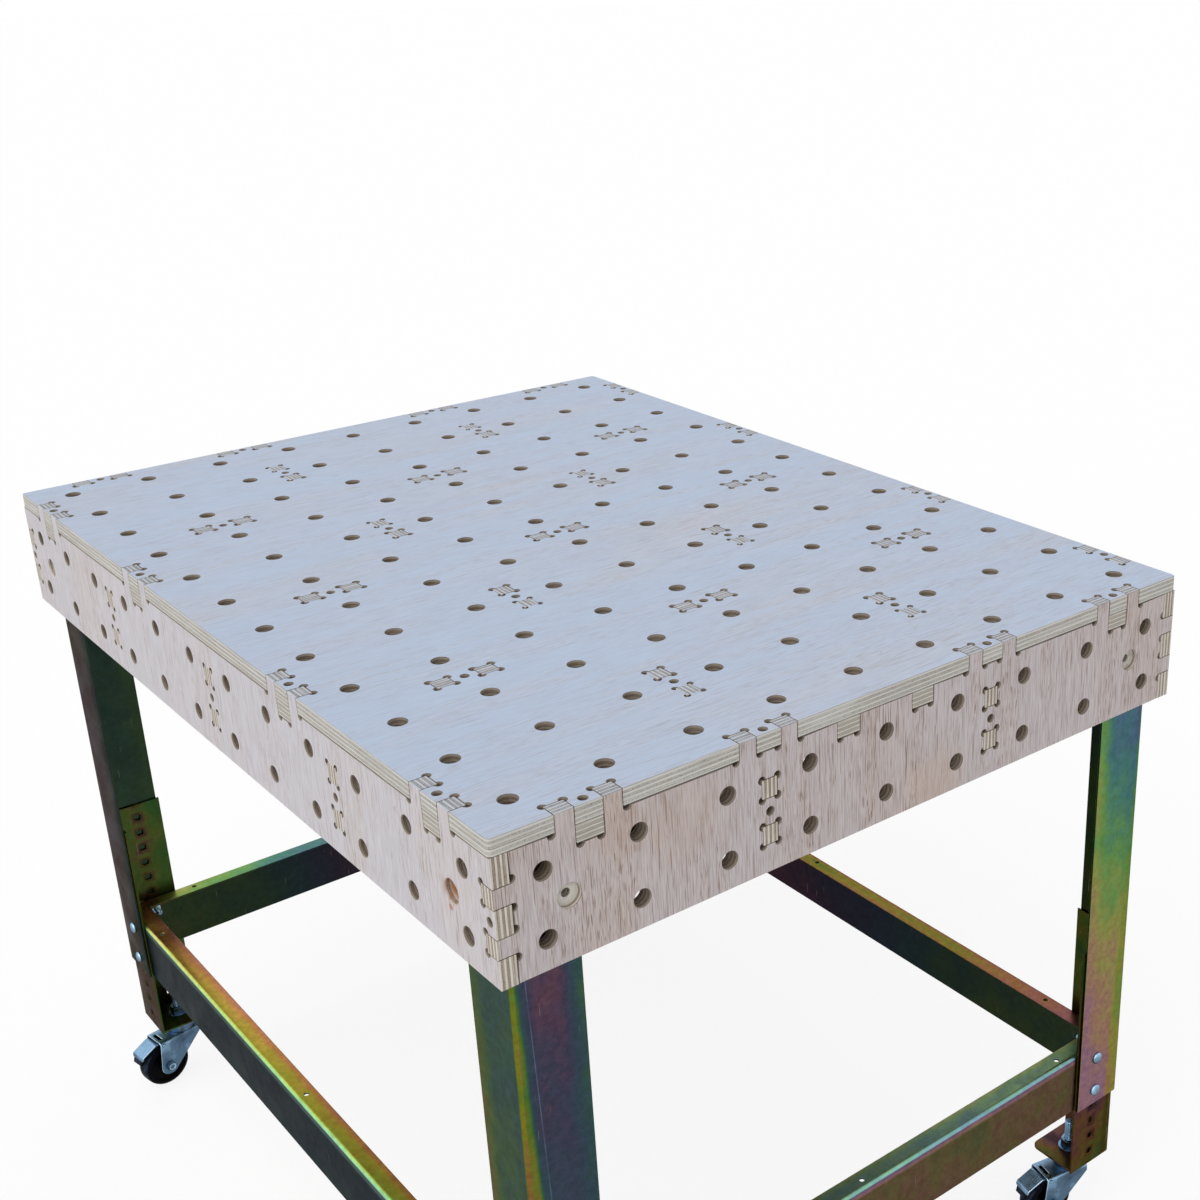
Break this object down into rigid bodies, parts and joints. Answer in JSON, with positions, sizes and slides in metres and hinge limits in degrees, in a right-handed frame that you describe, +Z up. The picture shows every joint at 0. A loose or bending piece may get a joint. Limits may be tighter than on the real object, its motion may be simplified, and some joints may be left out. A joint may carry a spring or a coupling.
{
  "type": "work table",
  "caption": "Mobile plywood work table with a lattice of bench-dog holes in its top and sides, folded-steel legs with height extensions, low stretchers and braked swivel casters.",
  "frame": {"origin": "on the floor under the middle of the table", "axes": "+X to the right along the short side, +Y to the back along the long side, +Z up; the short front side faces -Y"},
  "size_m": [0.9522, 1.2192, 0.9381],
  "materials": {
    "top_plywood": "pale sanded birch plywood with faint grain",
    "side_plywood": "pale plywood with layered edges, browned by cutting",
    "batten_wood": "plywood strip, edge grain showing",
    "passivated_steel": "yellow zinc passivation, iridescent from olive and gold to magenta and teal",
    "bright_zinc": "bright bluish zinc plate",
    "black_rubber": "smooth black rubber"
  },
  "bodies": {
    "table": {"top_skin": "top_plywood", "front_panel": "side_plywood", "back_panel": "side_plywood", "left_panel": "side_plywood", "right_panel": "side_plywood", "left_long_rib": "side_plywood", "right_long_rib": "side_plywood", "front_cross_rib": "side_plywood", "middle_cross_rib": "side_plywood", "back_cross_rib": "side_plywood", "left_edge_batten": "batten_wood", "right_edge_batten": "batten_wood", "left_centre_batten": "batten_wood", "right_centre_batten": "batten_wood", "front_edge_batten": "batten_wood", "back_edge_batten": "batten_wood", "front_centre_batten": "batten_wood", "back_centre_batten": "batten_wood", "left_stretcher": "passivated_steel", "right_stretcher": "passivated_steel", "front_stretcher": "passivated_steel", "back_stretcher": "passivated_steel", "front_left_leg": "passivated_steel", "front_right_leg": "passivated_steel", "back_right_leg": "passivated_steel", "back_left_leg": "passivated_steel"},
    "front_left_foot": {"front_left_leg_extension": "passivated_steel", "front_left_caster_stem": "bright_zinc", "front_left_caster_stem_nut": "bright_zinc"},
    "front_left_swivel": {"front_left_caster_fork": "bright_zinc", "front_left_caster_axle": "bright_zinc"},
    "front_left_wheel": {"front_left_caster_wheel": "black_rubber"},
    "front_left_brake": {"front_left_caster_brake_lever": "bright_zinc", "front_left_caster_brake_pad": "black_rubber"},
    "front_right_foot": {"front_right_leg_extension": "passivated_steel", "front_right_caster_stem": "bright_zinc", "front_right_caster_stem_nut": "bright_zinc"},
    "front_right_swivel": {"front_right_caster_fork": "bright_zinc", "front_right_caster_axle": "bright_zinc"},
    "front_right_wheel": {"front_right_caster_wheel": "black_rubber"},
    "front_right_brake": {"front_right_caster_brake_lever": "bright_zinc", "front_right_caster_brake_pad": "black_rubber"},
    "back_right_foot": {"back_right_leg_extension": "passivated_steel", "back_right_caster_stem": "bright_zinc", "back_right_caster_stem_nut": "bright_zinc"},
    "back_right_swivel": {"back_right_caster_fork": "bright_zinc", "back_right_caster_axle": "bright_zinc"},
    "back_right_wheel": {"back_right_caster_wheel": "black_rubber"},
    "back_right_brake": {"back_right_caster_brake_lever": "bright_zinc", "back_right_caster_brake_pad": "black_rubber"},
    "back_left_foot": {"back_left_leg_extension": "passivated_steel", "back_left_caster_stem": "bright_zinc", "back_left_caster_stem_nut": "bright_zinc"},
    "back_left_swivel": {"back_left_caster_fork": "bright_zinc", "back_left_caster_axle": "bright_zinc"},
    "back_left_wheel": {"back_left_caster_wheel": "black_rubber"},
    "back_left_brake": {"back_left_caster_brake_lever": "bright_zinc", "back_left_caster_brake_pad": "black_rubber"}
  },
  "joints": [
    {"name": "front_left_height", "type": "slide", "parent": "table", "child": "front_left_foot", "axis": [0, 0, -1], "range_m": [-0.0762, 0.1524]},
    {"name": "front_left_swivel", "type": "hinge", "parent": "front_left_foot", "child": "front_left_swivel", "pos_m": [-0.3978, -0.5502, 0.08], "axis": [0, 0, 1], "continuous": true},
    {"name": "front_left_roll", "type": "hinge", "parent": "front_left_swivel", "child": "front_left_wheel", "pos_m": [-0.43043, -0.56541, 0.035], "axis": [0.4226, -0.9063, 0], "continuous": true},
    {"name": "front_left_brake", "type": "hinge", "parent": "front_left_swivel", "child": "front_left_brake", "pos_m": [-0.43498, -0.56754, 0.07418], "axis": [0.4226, -0.9063, 0], "range_deg": [0, 8]},
    {"name": "front_right_height", "type": "slide", "parent": "table", "child": "front_right_foot", "axis": [0, 0, -1], "range_m": [-0.0762, 0.1524]},
    {"name": "front_right_swivel", "type": "hinge", "parent": "front_right_foot", "child": "front_right_swivel", "pos_m": [0.3978, -0.5502, 0.08], "axis": [0, 0, 1], "continuous": true},
    {"name": "front_right_roll", "type": "hinge", "parent": "front_right_swivel", "child": "front_right_wheel", "pos_m": [0.36259, -0.54271, 0.035], "axis": [-0.2079, -0.9781, 0], "continuous": true},
    {"name": "front_right_brake", "type": "hinge", "parent": "front_right_swivel", "child": "front_right_brake", "pos_m": [0.35768, -0.54167, 0.07418], "axis": [-0.2079, -0.9781, 0], "range_deg": [0, 8]},
    {"name": "back_right_height", "type": "slide", "parent": "table", "child": "back_right_foot", "axis": [0, 0, -1], "range_m": [-0.0762, 0.1524]},
    {"name": "back_right_swivel", "type": "hinge", "parent": "back_right_foot", "child": "back_right_swivel", "pos_m": [0.3978, 0.5502, 0.08], "axis": [0, 0, 1], "continuous": true},
    {"name": "back_right_roll", "type": "hinge", "parent": "back_right_swivel", "child": "back_right_wheel", "pos_m": [0.43325, 0.54395, 0.035], "axis": [0.1736, 0.9848, 0], "continuous": true},
    {"name": "back_right_brake", "type": "hinge", "parent": "back_right_swivel", "child": "back_right_brake", "pos_m": [0.4382, 0.54308, 0.07418], "axis": [0.1736, 0.9848, 0], "range_deg": [0, 8]},
    {"name": "back_left_height", "type": "slide", "parent": "table", "child": "back_left_foot", "axis": [0, 0, -1], "range_m": [-0.0762, 0.1524]},
    {"name": "back_left_swivel", "type": "hinge", "parent": "back_left_foot", "child": "back_left_swivel", "pos_m": [-0.3978, 0.5502, 0.08], "axis": [0, 0, 1], "continuous": true},
    {"name": "back_left_roll", "type": "hinge", "parent": "back_left_swivel", "child": "back_left_wheel", "pos_m": [-0.43325, 0.54395, 0.035], "axis": [0.1736, -0.9848, 0], "continuous": true},
    {"name": "back_left_brake", "type": "hinge", "parent": "back_left_swivel", "child": "back_left_brake", "pos_m": [-0.4382, 0.54308, 0.07418], "axis": [0.1736, -0.9848, 0], "range_deg": [0, 8]}
  ]
}
